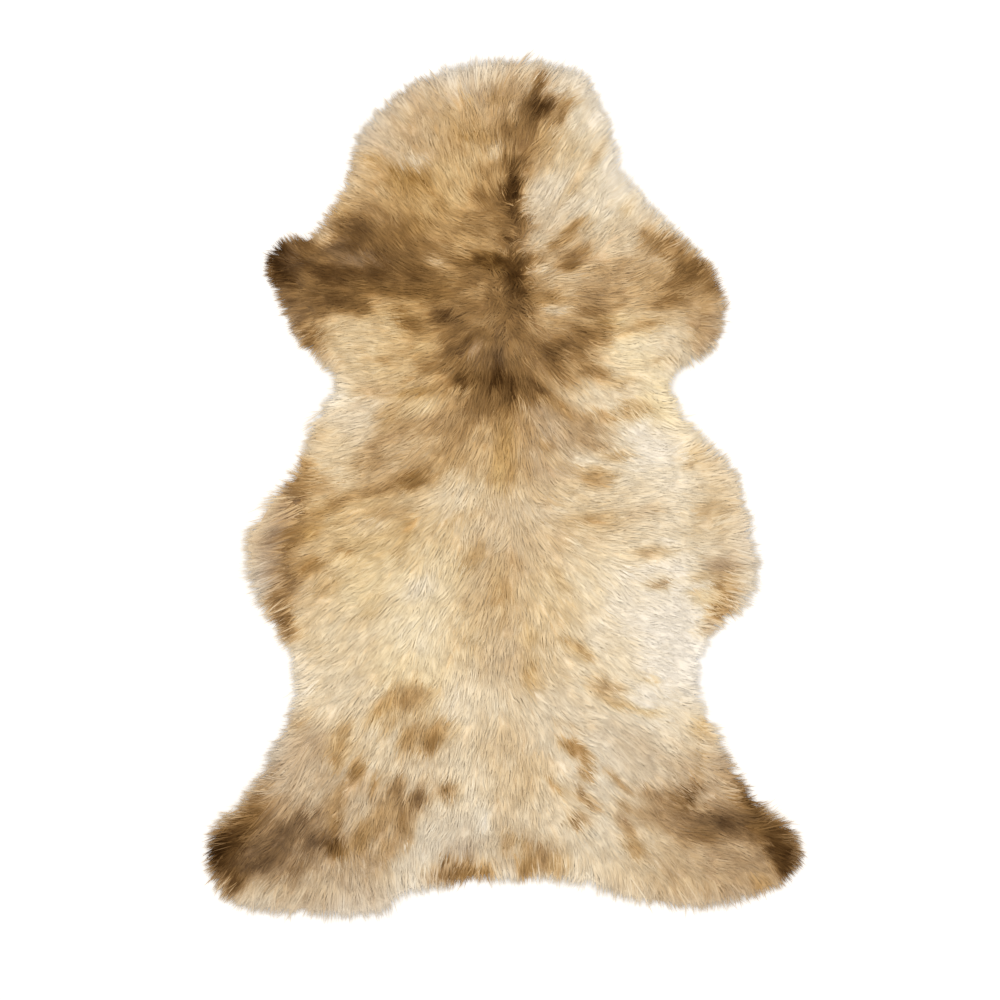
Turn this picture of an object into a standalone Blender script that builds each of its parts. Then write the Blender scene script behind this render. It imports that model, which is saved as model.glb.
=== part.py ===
"""Sheepskin rug: one whole tanned skin with its wool on, lying flat with the wool up.

The part is one solid, as the real thing is one piece. Its underside is the flat face of
the skin. Its top is the lumpy pile, made of tufts that lie the way the wool is combed. All
round the rim the wool stands out past the skin in tapered locks, which rest on the floor.

Frame: +Y runs to the neck, +X to the right seen from above with the neck at the top, and
+Z up. The origin is on the floor under the middle of the rug.
"""

from collections import namedtuple
import math

import bmesh
import bpy
from mathutils.geometry import delaunay_2d_cdt
import numpy as np

MM = 0.001

# The pile: its height at the skin's edge and further in, and how wide its round shoulder is
EDGE_HEIGHT = 18.0 * MM
PILE_HEIGHT = 40.0 * MM
SHOULDER_WIDTH = 52.0 * MM

# The tufts of the pile. Each is highest past its middle, and the weakest has that share of
# the full rise. The relief starts low at the skin's edge and is full a third of the way in.
TUFT_PITCH = 36.0 * MM
TUFT_LENGTH = 66.0 * MM
TUFT_WIDTH = 36.0 * MM
TUFT_RISE = 10.5 * MM
TUFT_SKEW = 1.9
WEAKEST_TUFT = 0.45
TUFT_WANDER = 0.32
RELIEF_AT_EDGE = 0.25
RELIEF_GROWTH = 3.0

# The locks round the rim. Their lengths are shares of the overhang and their unevenness is a
# share of their width. A lock's lean is part combing and part chance, and the upper edges of
# a section are drawn in from its lower ones.
LOCK_COUNT = 240
LOCK_UNEVENNESS = 0.30
SHORTEST_LOCK = 0.74
LONGEST_LOCK = 1.08
LEAN_FROM_COMBING = 0.6
LEAN_FROM_CHANCE = 0.35
RIDGE_INSET = 0.2
TIP_HEIGHT = 0.8 * MM

LockSection = namedtuple("LockSection", "reach width height")
LOCK_SECTIONS = (
    LockSection(0.45, 0.93, 12.0 * MM),
    LockSection(0.80, 0.68, 6.0 * MM),
)

# The mesh: how far apart its points are, how far they wander and how clear of the rim they
# stay, both as shares of that spacing, and how often the two edges are smoothed.
TOP_SPACING = 14.0 * MM
TOP_WANDER = 0.14
TOP_CLEARANCE = 0.62
UNDERSIDE_SPACING = 55.0 * MM
UNDERSIDE_CLEARANCE = 0.4
STEPS_PER_SPAN = 24
TANGENT_SMOOTHING = 3
SKIN_SMOOTHING = 4

# Seeds of what is uneven by chance
STATION_SEED = 17
TUFT_SEED = 11
RISE_SEED = 7
TOP_SEED = 3
LOCK_SEED = 23

WOOL_COLOUR = (0.66, 0.50, 0.32, 1.0)
SKIN_COLOUR = (0.72, 0.60, 0.46, 1.0)

# The wool's edge, clockwise from the top of the neck, in millimetres. The overhang is how
# far the wool reaches past the skin there.
Landmark = namedtuple("Landmark", "name x y overhang")
WOOL_EDGE = (
    Landmark("neck_top", -17, 499, 32),
    Landmark("neck_top_right", 56, 494, 32),
    Landmark("neck_corner_right", 93, 481, 26),
    Landmark("neck_side_right", 118, 437, 28),
    Landmark("neck_base_right", 148, 356, 26),
    Landmark("shoulder_right", 196, 298, 28),
    Landmark("foreleg_top_right", 236, 266, 26),
    Landmark("foreleg_tip_right", 259, 216, 26),
    Landmark("foreleg_heel_right", 244, 159, 22),
    Landmark("elbow_right", 221, 146, 22),
    Landmark("chest_right", 199, 128, 24),
    Landmark("ribs_right", 216, 76, 30),
    Landmark("flank_top_right", 266, 24, 34),
    Landmark("flank_right", 287, -42, 36),
    Landmark("flank_wisp_right", 299, -98, 40),
    Landmark("flank_low_right", 287, -131, 36),
    Landmark("loin_right", 240, -170, 32),
    Landmark("waist_right", 226, -222, 30),
    Landmark("thigh_right", 252, -292, 28),
    Landmark("hock_right", 298, -369, 26),
    Landmark("hind_leg_top_right", 331, -387, 26),
    Landmark("hind_leg_tip_right", 346, -417, 28),
    Landmark("hind_leg_toe_right", 336, -452, 28),
    Landmark("hind_leg_hem_right", 290, -478, 32),
    Landmark("hem_right", 190, -491, 36),
    Landmark("rump_right", 82, -463, 34),
    Landmark("rump_middle", 6, -456, 34),
    Landmark("rump_left", -64, -457, 34),
    Landmark("notch", -122, -477, 36),
    Landmark("notch_corner", -139, -497, 40),
    Landmark("hem_left", -226, -499, 38),
    Landmark("hind_leg_hem_left", -304, -490, 32),
    Landmark("hind_leg_toe_left", -333, -464, 28),
    Landmark("hind_leg_tip_left", -346, -428, 28),
    Landmark("hind_leg_top_left", -338, -393, 26),
    Landmark("hock_left", -305, -361, 26),
    Landmark("thigh_left", -267, -297, 28),
    Landmark("waist_left", -244, -228, 30),
    Landmark("loin_left", -268, -166, 34),
    Landmark("flank_low_left", -291, -131, 44),
    Landmark("flank_left", -305, -84, 52),
    Landmark("flank_top_left", -284, -17, 48),
    Landmark("ribs_left", -246, 17, 34),
    Landmark("breast_left", -222, 78, 28),
    Landmark("chest_left", -199, 124, 24),
    Landmark("elbow_left", -213, 147, 22),
    Landmark("foreleg_heel_left", -238, 168, 22),
    Landmark("foreleg_side_left", -259, 222, 22),
    Landmark("foreleg_tip_left", -277, 256, 22),
    Landmark("foreleg_top_left", -264, 283, 22),
    Landmark("shoulder_left", -222, 300, 28),
    Landmark("neck_base_left", -191, 350, 28),
    Landmark("neck_side_left", -168, 415, 30),
    Landmark("neck_corner_left", -118, 466, 30),
    Landmark("neck_crown_left", -72, 487, 32),
)

# The way the wool lies: the heading of its tips, in degrees from +X towards +Y.
Comb = namedtuple("Comb", "x y heading")
COMBING = (
    Comb(0, 462, 90),
    Comb(-98, 450, 125),
    Comb(-170, 375, 158),
    Comb(-90, 390, 112),
    Comb(76, 462, 42),
    Comb(99, 392, 60),
    Comb(82, 328, 38),
    Comb(-121, 316, 135),
    Comb(-240, 265, 170),
    Comb(-170, 218, 180),
    Comb(53, 262, 4),
    Comb(204, 235, 30),
    Comb(157, 180, 2),
    Comb(64, 150, -25),
    Comb(-80, 155, 200),
    Comb(0, 67, 270),
    Comb(-60, 55, 236),
    Comb(55, 70, -46),
    Comb(-238, -38, 194),
    Comb(-121, -107, 222),
    Comb(-191, -189, 220),
    Comb(0, -154, 268),
    Comb(64, -119, -50),
    Comb(123, -15, -6),
    Comb(235, -70, -3),
    Comb(157, -200, -24),
    Comb(0, -360, 270),
    Comb(-110, -350, 252),
    Comb(-203, -316, 238),
    Comb(-300, -409, 215),
    Comb(-180, -467, 262),
    Comb(99, -363, -46),
    Comb(169, -316, -38),
    Comb(290, -409, -20),
    Comb(190, -467, -66),
)
COMB_REACH = 75.0 * MM

# Where the pile parts or is drawn in, from one end to the other, in millimetres.
Furrow = namedtuple("Furrow", "name x_start y_start x_end y_end width depth")
FURROWS = (
    Furrow("neck_streak", 46, 452, 18, 372, 15, 7),
    Furrow("spine_parting", 14, 352, 2, 210, 13, 9),
    Furrow("shoulder_whorl", 0, 128, 0, 112, 21, 13),
    Furrow("thigh_crease", 230, -325, 205, -362, 11, 8),
    Furrow("loin_parting", 32, -6, 40, -64, 16, 5),
)


def remove_all_objects():
    """Empty the scene."""
    for item in list(bpy.data.objects):
        bpy.data.objects.remove(item, do_unlink=True)


def curve_between(p0, p1, p2, p3, fraction):
    """Points on the smooth curve from p1 to p2, its knots spaced by the root of each chord."""
    knots = [0.0]
    for start, end in ((p0, p1), (p1, p2), (p2, p3)):
        knots.append(knots[-1] + math.sqrt(np.linalg.norm(end[:2] - start[:2])))
    k0, k1, k2, k3 = knots
    k = (k1 + (k2 - k1) * fraction)[:, None]
    a1 = p0 * (k1 - k) / (k1 - k0) + p1 * (k - k0) / (k1 - k0)
    a2 = p1 * (k2 - k) / (k2 - k1) + p2 * (k - k1) / (k2 - k1)
    a3 = p2 * (k3 - k) / (k3 - k2) + p3 * (k - k2) / (k3 - k2)
    b1 = a1 * (k2 - k) / (k2 - k0) + a2 * (k - k0) / (k2 - k0)
    b2 = a2 * (k3 - k) / (k3 - k1) + a3 * (k - k1) / (k3 - k1)
    return b1 * (k2 - k) / (k2 - k1) + b2 * (k - k1) / (k2 - k1)


def wool_ring():
    """The closed curve through the landmarks, as rows of x, y and overhang.

    The rows are a lock's width apart, some wider and some narrower than the rest.
    """
    knots = np.array([(mark.x, mark.y, mark.overhang) for mark in WOOL_EDGE], float) * MM
    fraction = np.arange(STEPS_PER_SPAN) / STEPS_PER_SPAN
    following = np.roll(knots, -1, axis=0)
    spans = [
        curve_between(knots[i - 1], knots[i], following[i], following[(i + 1) % len(knots)], fraction)
        for i in range(len(knots))
    ]
    fine = np.concatenate(spans + [spans[0][:1]])
    travelled = np.concatenate(([0.0], np.cumsum(np.linalg.norm(np.diff(fine[:, :2], axis=0), axis=1))))
    random = np.random.default_rng(STATION_SEED)
    shifts = random.uniform(-LOCK_UNEVENNESS, LOCK_UNEVENNESS, LOCK_COUNT)
    stops = (np.arange(LOCK_COUNT) + 0.5 + shifts) * travelled[-1] / LOCK_COUNT
    return np.column_stack([np.interp(stops, travelled, fine[:, column]) for column in range(3)])


def smoothed(ring, passes):
    """A closed ring of points, each drawn towards the middle of its neighbours."""
    for _ in range(passes):
        ring = 0.5 * ring + 0.25 * (np.roll(ring, 1, axis=0) + np.roll(ring, -1, axis=0))
    return ring


def skin_ring(wool):
    """The skin's edge: each point of the wool's edge moved inwards by its overhang."""
    along = np.roll(wool[:, :2], -1, axis=0) - np.roll(wool[:, :2], 1, axis=0)
    along = smoothed(along, TANGENT_SMOOTHING)
    along /= np.linalg.norm(along, axis=1)[:, None]
    inward = np.column_stack([along[:, 1], -along[:, 0]])
    return smoothed(wool[:, :2] + inward * wool[:, 2:], SKIN_SMOOTHING)


def segment_distance(points, start, end):
    """How far each point is from the straight line between start and end."""
    line = end - start
    share = ((points - start) @ line) / max(line @ line, 1e-12)
    nearest = start + np.clip(share, 0.0, 1.0)[:, None] * line
    return np.linalg.norm(points - nearest, axis=1)


def ring_distance(points, ring):
    """How far each point is from a closed ring."""
    ends = np.roll(ring, -1, axis=0)
    return np.min([segment_distance(points, start, end) for start, end in zip(ring, ends)], axis=0)


def inside(points, ring):
    """Which points lie inside a closed ring, by counting the edges to their right."""
    crossings = np.zeros(len(points), int)
    for (x0, y0), (x1, y1) in zip(ring, np.roll(ring, -1, axis=0)):
        spans = (y0 > points[:, 1]) != (y1 > points[:, 1])
        rise = y1 - y0 if y1 != y0 else 1.0
        crossings += spans & (points[:, 0] < x0 + (points[:, 1] - y0) * (x1 - x0) / rise)
    return crossings % 2 == 1


def staggered_points(ring, spacing, clearance, wander=0.0, seed=0):
    """Points on a staggered lattice inside a ring and clear of it, each moved a little."""
    low, high = ring.min(axis=0), ring.max(axis=0)
    row_height = spacing * math.sqrt(3) / 2
    columns = np.arange(low[0], high[0], spacing)
    rows = np.arange(low[1], high[1], row_height)
    x, y = np.meshgrid(columns, rows)
    x = x + (np.arange(len(rows)) % 2)[:, None] * spacing / 2
    points = np.column_stack([x.ravel(), y.ravel()])
    points += np.random.default_rng(seed).uniform(-wander, wander, points.shape) * spacing
    points = points[inside(points, ring)]
    return points[ring_distance(points, ring) > clearance * spacing]


def heading_at(points):
    """The unit vector along which the wool lies at each point, blended from the combing."""
    places = np.array([(comb.x, comb.y) for comb in COMBING]) * MM
    turns = np.radians([comb.heading for comb in COMBING])
    vectors = np.column_stack([np.cos(turns), np.sin(turns)])
    apart = np.linalg.norm(points[:, None] - places[None], axis=2)
    weight = np.exp(-((apart / COMB_REACH) ** 2)) + 1e-6 / (apart + 0.01) ** 2
    blend = weight @ vectors
    return blend / np.linalg.norm(blend, axis=1)[:, None]


def tuft_relief(points, ring):
    """How far the tufts raise the pile: each rises along its lie and drops at its tip."""
    middles = staggered_points(ring, TUFT_PITCH, 0.2, TUFT_WANDER, TUFT_SEED)
    rises = np.random.default_rng(RISE_SEED).uniform(WEAKEST_TUFT, 1.0, len(middles)) * TUFT_RISE
    relief = np.zeros(len(points))
    for middle, (cos, sin), rise in zip(middles, heading_at(middles), rises):
        offset = points - middle
        along = np.clip((offset @ (cos, sin)) / TUFT_LENGTH + 0.5, 0.0, 1.0)
        across = (offset @ (-sin, cos)) / (TUFT_WIDTH / 2)
        climb = np.sin(math.pi * along**TUFT_SKEW)
        relief = np.maximum(relief, rise * climb * np.clip(1.0 - across**2, 0.0, 1.0))
    return relief


def furrow_depth(points):
    """How far the partings and the whorl draw the pile in."""
    depth = np.zeros(len(points))
    for furrow in FURROWS:
        start = np.array([furrow.x_start, furrow.y_start]) * MM
        end = np.array([furrow.x_end, furrow.y_end]) * MM
        away = segment_distance(points, start, end) / (furrow.width * MM)
        depth = np.maximum(depth, furrow.depth * MM * np.exp(-(away**2)))
    return depth


def pile_height(points, ring):
    """The height of the pile's top at each point inside the skin's edge."""
    inset = np.clip(ring_distance(points, ring) / SHOULDER_WIDTH, 0.0, 1.0)
    crown = EDGE_HEIGHT + (PILE_HEIGHT - EDGE_HEIGHT) * np.sin(inset * math.pi / 2)
    share = np.clip(inset * RELIEF_GROWTH, RELIEF_AT_EDGE, 1.0)
    return crown + share * (tuft_relief(points, ring) - furrow_depth(points))


def add_surface(shape, ring, interior):
    """Fill a ring of vertices with triangles that also pass through the interior points."""
    verts = list(ring) + [shape.verts.new(point) for point in interior]
    edges = [(i, (i + 1) % len(ring)) for i in range(len(ring))]
    flat = [vert.co.xy for vert in verts]
    inner_triangles_only = 1
    points, _, triangles, _, _, _ = delaunay_2d_cdt(flat, edges, [], inner_triangles_only, 1e-7)
    if len(points) != len(flat):
        raise ValueError("the outline crosses itself")
    for triangle in triangles:
        shape.faces.new([verts[i] for i in triangle])


class Lock:
    """One lock of the rim, between two neighbouring stations of the skin and of the wool."""

    def __init__(self, skin, wool, index, length, chance):
        following = (index + 1) % len(skin)
        self.roots = np.array([skin[index], skin[following]])
        self.reach = (np.array([wool[index, :2], wool[following, :2]]) - self.roots) * length
        span = self.roots[1] - self.roots[0]
        heading = heading_at(self.roots.mean(axis=0, keepdims=True))[0]
        sweep = heading @ span / np.linalg.norm(span)
        self.lean = LEAN_FROM_COMBING * sweep + LEAN_FROM_CHANCE * chance

    def across(self, reach, width):
        """The two ends of the lock's width, at a share of the way from its root to its tip."""
        left, right = self.roots + self.reach * reach
        middle = 0.5 + self.lean * (1.0 - width) / 2
        return left + (right - left) * (middle - width / 2), left + (right - left) * (middle + width / 2)

    def corners(self, section):
        """A section's four corners: two on the floor and two drawn in above them."""
        near, far = self.across(section.reach, section.width)
        inset = RIDGE_INSET * (far - near)
        return (*near, 0.0), (*far, 0.0), (*(far - inset), section.height), (*(near + inset), section.height)

    def tip(self):
        """The point that the lock ends in, just above the floor."""
        return (*self.across(1.0, 0.0)[0], TIP_HEIGHT)


def grow_locks(shape, sides, skin, wool):
    """Draw each side face out into a tapered lock that lies on the floor."""
    random = np.random.default_rng(LOCK_SEED)
    lengths = random.uniform(SHORTEST_LOCK, LONGEST_LOCK, len(sides))
    chances = random.uniform(-1.0, 1.0, len(sides))
    locks = [Lock(skin, wool, *row) for row in zip(range(len(sides)), lengths, chances)]
    lock_layer = shape.faces.layers.int["lock"]
    for index, side in enumerate(sides):
        side[lock_layer] = index
    ends = sides
    for section in LOCK_SECTIONS:
        ends = bmesh.ops.extrude_discrete_faces(shape, faces=ends)["faces"]
        for end in ends:
            for vert, corner in zip(end.verts, locks[end[lock_layer]].corners(section)):
                vert.co = corner
    for end in ends:
        tip = locks[end[lock_layer]].tip()
        bmesh.ops.poke(shape, faces=[end])["verts"][0].co = tip


def build_material(name, colour, roughness):
    """A plain material of one colour."""
    material = bpy.data.materials.new(name)
    material.use_nodes = True
    shader = material.node_tree.nodes["Principled BSDF"]
    shader.inputs["Base Color"].default_value = colour
    shader.inputs["Roughness"].default_value = roughness
    shader.inputs["Metallic"].default_value = 0.0
    material.diffuse_color = colour
    return material


def shape_sheepskin():
    """The closed shape of the skin and its wool, with their two materials by number."""
    wool = wool_ring()
    skin = skin_ring(wool)
    top = staggered_points(skin, TOP_SPACING, TOP_CLEARANCE, TOP_WANDER, TOP_SEED)
    under = staggered_points(skin, UNDERSIDE_SPACING, UNDERSIDE_CLEARANCE)

    shape = bmesh.new()
    shape.faces.layers.int.new("lock")
    low_ring = [shape.verts.new((x, y, 0.0)) for x, y in skin]
    high_ring = [shape.verts.new((x, y, EDGE_HEIGHT)) for x, y in skin]
    add_surface(shape, high_ring, np.column_stack([top, pile_height(top, skin)]))
    add_surface(shape, low_ring, np.column_stack([under, np.zeros(len(under))]))
    sides = []
    for index in range(len(skin)):
        following = (index + 1) % len(skin)
        corners = (low_ring[index], low_ring[following], high_ring[following], high_ring[index])
        sides.append(shape.faces.new(corners))
    grow_locks(shape, sides, skin, wool)

    bmesh.ops.recalc_face_normals(shape, faces=shape.faces[:])
    for face in shape.faces:
        is_underside = all(vert.co.z < TIP_HEIGHT / 2 for vert in face.verts)
        face.material_index = 1 if is_underside else 0
        face.smooth = not is_underside
    return shape


def build_sheepskin():
    """The rug as one object: wool on top and round the rim, suede underneath."""
    shape = shape_sheepskin()
    mesh = bpy.data.meshes.new("sheepskin")
    shape.to_mesh(mesh)
    shape.free()
    mesh.materials.append(build_material("wool", WOOL_COLOUR, 0.9))
    mesh.materials.append(build_material("suede", SKIN_COLOUR, 0.85))
    mesh.set_sharp_from_angle(angle=math.radians(50))
    rug = bpy.data.objects.new("sheepskin", mesh)
    bpy.context.scene.collection.objects.link(rug)


remove_all_objects()
build_sheepskin()
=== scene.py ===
"""Sheepskin rug: the looks of a whole tanned skin that lies flat with its wool up.

The suede hide lies on the floor. A lumpy undercoat covers it and reaches past its edge, and
locks of fine strands grow through that. Everything is in metres in the frame of the model:
+Y runs to the neck, +X to the right seen from above, and +Z up.
"""

from collections import namedtuple
import math

import bpy
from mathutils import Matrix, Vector
from mathutils.bvhtree import BVHTree
from mathutils.geometry import delaunay_2d_cdt
import numpy as np


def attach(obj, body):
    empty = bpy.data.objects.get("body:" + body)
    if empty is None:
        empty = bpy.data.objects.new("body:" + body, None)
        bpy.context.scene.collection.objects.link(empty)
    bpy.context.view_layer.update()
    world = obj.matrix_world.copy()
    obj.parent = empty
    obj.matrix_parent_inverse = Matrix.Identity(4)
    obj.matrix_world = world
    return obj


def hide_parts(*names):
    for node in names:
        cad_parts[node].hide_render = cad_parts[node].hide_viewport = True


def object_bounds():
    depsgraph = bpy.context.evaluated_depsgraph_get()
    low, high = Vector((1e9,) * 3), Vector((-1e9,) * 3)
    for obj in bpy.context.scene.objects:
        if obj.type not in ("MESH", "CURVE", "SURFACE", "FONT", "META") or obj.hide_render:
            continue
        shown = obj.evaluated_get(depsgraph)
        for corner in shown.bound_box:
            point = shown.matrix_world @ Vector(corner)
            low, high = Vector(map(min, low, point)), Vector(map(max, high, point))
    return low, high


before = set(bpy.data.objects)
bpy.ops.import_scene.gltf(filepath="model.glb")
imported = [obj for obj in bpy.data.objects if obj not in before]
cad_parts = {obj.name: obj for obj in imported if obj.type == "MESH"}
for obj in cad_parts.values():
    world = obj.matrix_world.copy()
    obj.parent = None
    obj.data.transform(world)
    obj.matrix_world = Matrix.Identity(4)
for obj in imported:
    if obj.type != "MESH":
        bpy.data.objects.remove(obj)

CAD_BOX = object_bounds()
RUG = "sheepskin"
BODY = "root"

MM = 0.001
DEGREES = math.pi / 180

# The photo's frame, for the camera: its width in pixels, the pixel over the origin and the
# real size of a pixel
PHOTO_SIDE = 1000
ORIGIN_PIXEL = (504.5, 487.5)
PIXEL = 1.1614 * MM
CAMERA_HEIGHT = 6.0

# The two edges: the points of each, the steps of the curve between two landmarks, and how often
# the tangents and the inner edge are smoothed
RING_COUNT = 420
STEPS_PER_SPAN = 24
TANGENT_SMOOTHING = 6
SKIN_SMOOTHING = 10

# The suede, and how a slab's surface is filled with triangles
HIDE_THICKNESS = 2.0 * MM
HIDE_SPACING = 22.0 * MM
SLAB_WANDER = 0.12
INSIDE_ONLY = 1
WELD = 1e-7

# The undercoat: how far inside the wool's edge it ends, how thick it is there and where it rises,
# how far under the pile's surface it lies, more where little of the combing agrees, and the gap
# that it keeps to the hide
UNDERCOAT_INSET = 10.5 * MM
UNDERCOAT_WANDER = 3.0 * MM
WANDER_SCALE = 16.0 * MM
UNDERCOAT_EDGE = 0.8 * MM
UNDERCOAT_RISE = (-2.0 * MM, 20.0 * MM)
UNDERCOAT_SHARE = 0.95
UNDERCOAT_DEPTH = 1.8 * MM
LOOSE_ORDER = (0.2, 0.8)
UNDERCOAT_SPACING = 2.75 * MM
UNDERCOAT_GAP = 0.3 * MM
UNDERCOAT_GOLD = -0.15

# The undercoat's ridges, the shift of its tone along the combing, and its streaked tone, which also
# makes it a little darker all over as painted shade from the strands above: the first number is
# that painted shade and the second how strong the streaking is. Each grain is a breadth, a length
# along the combing and a seed.
RIDGE_HEIGHT = 0.9 * MM
RIDGE_GRAIN = (2.6 * MM, 26.0 * MM, 75)
SHIFT_SIZE = 5.0 * MM
SHIFT_GRAIN = (3.0 * MM, 24.0 * MM, 81)
STREAK_AND_PAINTED_SHADE_TONE = (0.02, 0.06)
STREAK_GRAIN = (2.6 * MM, 30.0 * MM, 83)

# The grid on which the fields over the rug are kept, the height over the solid from which its top
# is looked for, the cells along each side of the table of chance, and the least number to divide by
GRID_PITCH = 3.0 * MM
GRID_LOW = np.array((-372.0, -540.0)) * MM
GRID_SHAPE = (249, 361)
HEADROOM = 0.1
NOISE_CELLS = 256
TINY = 1e-9

# The pile near the wool's edge: how far inside it the solid's full height begins, which is carried
# on outwards in steps. Between these distances inside the edge the pile rises from a share of its
# height, the wool stops turning outwards, and the paler, greyer tone ends that spares dark wool.
CAD_RIM = 15.0 * MM
CARRY_STEPS = 12
LEAST_WEIGHT = 0.02
RIM_ROUNDING = (-6.0 * MM, 30.0 * MM)
RIM_SHARE = 0.30
RIM_TURNING = (-5.0 * MM, 46.0 * MM)
RIM_TURN = 0.75
RIM_FADE = (-2.0 * MM, 26.0 * MM)
RIM_PALENESS = 0.24
RIM_GREYNESS = 0.36
SPARED_PIGMENT = (0.4, 0.9)

# The share of the pile's slope that its shading follows
SHADED_SLOPE = 0.6

# Where the locks root: how far apart and how far inside the skin's edge, all over the skin, where
# the wool parts and round the rim. It parts where less than this share of the combing agrees.
LOCK_PITCH = 11.3 * MM
LOCK_INSET = 5.0 * MM
LOCK_WANDER = 0.38
PARTING_PITCH = 8.0 * MM
PARTING_INSET = 30.0 * MM
PARTING_ORDER = 0.6
RIM_PITCH = 4.6 * MM
RIM_SETBACK = 7.0 * MM

# The locks: their breadth, their usual length along the pile and its least and greatest share.
# Those with less room or nearer to the skin's edge than this end round the wool's edge instead,
# and where little of the combing agrees a lock keeps only a share of its length.
LOCK_SPREAD = 6.8 * MM
LOCK_LENGTH = 37.0 * MM
LOCK_SHARES = (0.78, 1.22)
EDGE_ROOM = 1.25 * LOCK_LENGTH
EDGE_INSET = 14.0 * MM
LOCK_ENDS = (-7.8 * MM, 5.2 * MM)
SHORTEST_LOCK = 12.0 * MM
PARTED_SHARE = 0.5
PARTED_ORDER = (0.05, 0.75)

# The line along which each lock lies, and how high the locks at the rim lie, as a share of the
# pile's height that is cut off at 1
LONGEST_REACH = 84.0 * MM
AXIS_STEPS = 8
AXIS_STRIDE = LONGEST_REACH / AXIS_STEPS
RIM_LEVELS = (0.3, 1.5)

# The drift of neighbouring locks, as the degrees, the distance over which it changes and the
# seed, how far single locks are turned, most where the wool is tousled, how far they are bent,
# and where along them the bend is nought
DRIFTS = ((14.0, 38.0 * MM, 41), (9.0, 14.0 * MM, 42))
LEAST_TURN = 7.0
TOUSLED_TURN = 60.0
TOUSLED_ORDER = (0.1, 0.6)
LOCK_BEND = 16.0
BEND_MIDDLE = 0.3

# The strands: the corners of their section in degrees, how flat it is and how round it is shaded,
# how far they bow and sweep sideways and how crimped they are
STRAND_CORNERS = (90, 210, 330)
STRAND_FLATNESS = 0.7
STRAND_ROUNDNESS = 0.07
STRAND_BOW = 1.3 * MM
STRAND_SWEEP = 2.2 * MM
STRAND_CRIMP = 0.5 * MM

# Where a strand starts along its lock, as a share of the usual length, how much of the lock it
# reaches along, and how far its end closes in on the lock's middle, at the rim and further in
STRAND_STARTS = (-0.10, 0.22)
RIM_START = 0.3
STRAND_REACHES = (0.80, 1.10)
RIM_CLOSING = (-0.4, 0.4)
INNER_CLOSING = (0.0, 0.6)

# How high the strands root, how much lower the outer ones of a lock lie, how far they stay off the
# floor at the rim, how much more further in, and between which distances that grows
ROOT_SHARE = 0.84
LOCK_ROUNDING = 0.8 * MM
FLOOR_GAP = 1.2 * MM
INNER_FLOOR_GAP = 2.2 * MM
INNER_RISE = (3.0 * MM, 13.0 * MM)

# How the locks and the strands vary by chance, in height, in pigment and in where along the
# combing they take their tone
LOCK_LIFT = 0.5 * MM
STRAND_LIFT = 0.3 * MM
LOCK_PIGMENT = 0.018
STRAND_PIGMENT = 0.013
LOCK_SHIFT = 3.0 * MM
STRAND_SHIFT = 2.5 * MM
MOTTLING = (0.02, 0.09)
MOTTLE_SIZE = 9.0 * MM

# How much pigment and gold a strand gains at its root, its middle and its tip. The root is paler,
# as real wool is and also as painted light that lightens the shaded gaps between the strands, and
# more golden, as painted warm shade; the tip is a little greyer.
TONE_STOPS = (0.0, 0.5, 1.0)
PAINTED_FILL_PIGMENT_GAIN = (-0.04, 0.0, 0.0)
PAINTED_SHADE_GOLD_GAIN = (0.15, 0.0, -0.05)

# The layers of strands, from the bottom up: strands to a lock, width at the root, share of the
# width at the last ring, how far their tips stand above the pile's surface, and where along a
# strand its rings and its tip are
Layer = namedtuple("Layer", "name strands width taper proud stops seed")
PLAIN = (0.0, 0.6, 1.0)
BENT = (0.0, 0.42, 0.74, 1.0)
LAYERS = (
    Layer("wool_low", 4, 2.3 * MM, 0.80, -0.5 * MM, PLAIN, 102),
    Layer("wool_mid", 4, 1.7 * MM, 0.75, 0.1 * MM, PLAIN, 103),
    Layer("wool_high", 3, 1.1 * MM, 0.60, 0.5 * MM, BENT, 104),
    Layer("wool_tips", 3, 0.8 * MM, 0.55, 0.8 * MM, BENT, 105),
)
RIM_LAYER = Layer("wool_rim", 11, 0.7 * MM, 0.65, 0.0, BENT, 106)

# The wool's edge, clockwise from the top of the neck, as the construction has it but for a few
# places where the tips end up to 3 mm further in or out. Each point has its x and y and how far
# the wool reaches past the skin there, all in millimetres.
WOOL_EDGE = (
    (-17, 499, 32), (56, 493, 32), (92, 479, 26), (117, 436, 28), (147, 356, 26), (198, 301, 28),
    (236, 266, 26), (257, 216, 26), (244, 159, 22), (222, 146, 22), (196, 128, 24), (216, 76, 30),
    (266, 24, 34), (287, -42, 36), (298, -98, 40), (287, -131, 36), (244, -172, 32), (226, -222, 30),
    (252, -291, 28), (294, -365, 26), (326, -383, 26), (343, -417, 28), (335, -451, 28), (290, -478, 32),
    (190, -491, 36), (82, -463, 34), (6, -458, 34), (-64, -464, 34), (-123, -479, 36), (-139, -497, 40),
    (-226, -500, 38), (-303, -489, 32), (-335, -465, 28), (-346, -428, 28), (-338, -393, 26),
    (-302, -358, 26), (-267, -297, 28), (-245, -228, 30), (-268, -166, 34), (-291, -131, 44),
    (-305, -84, 52), (-284, -17, 48), (-248, 18, 34), (-222, 78, 28), (-197, 124, 24), (-215, 147, 22),
    (-241, 168, 22), (-264, 221, 22), (-279, 256, 22), (-263, 283, 22), (-221, 299, 28), (-190, 350, 28),
    (-166, 414, 30), (-117, 465, 30), (-72, 487, 32),
)

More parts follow.
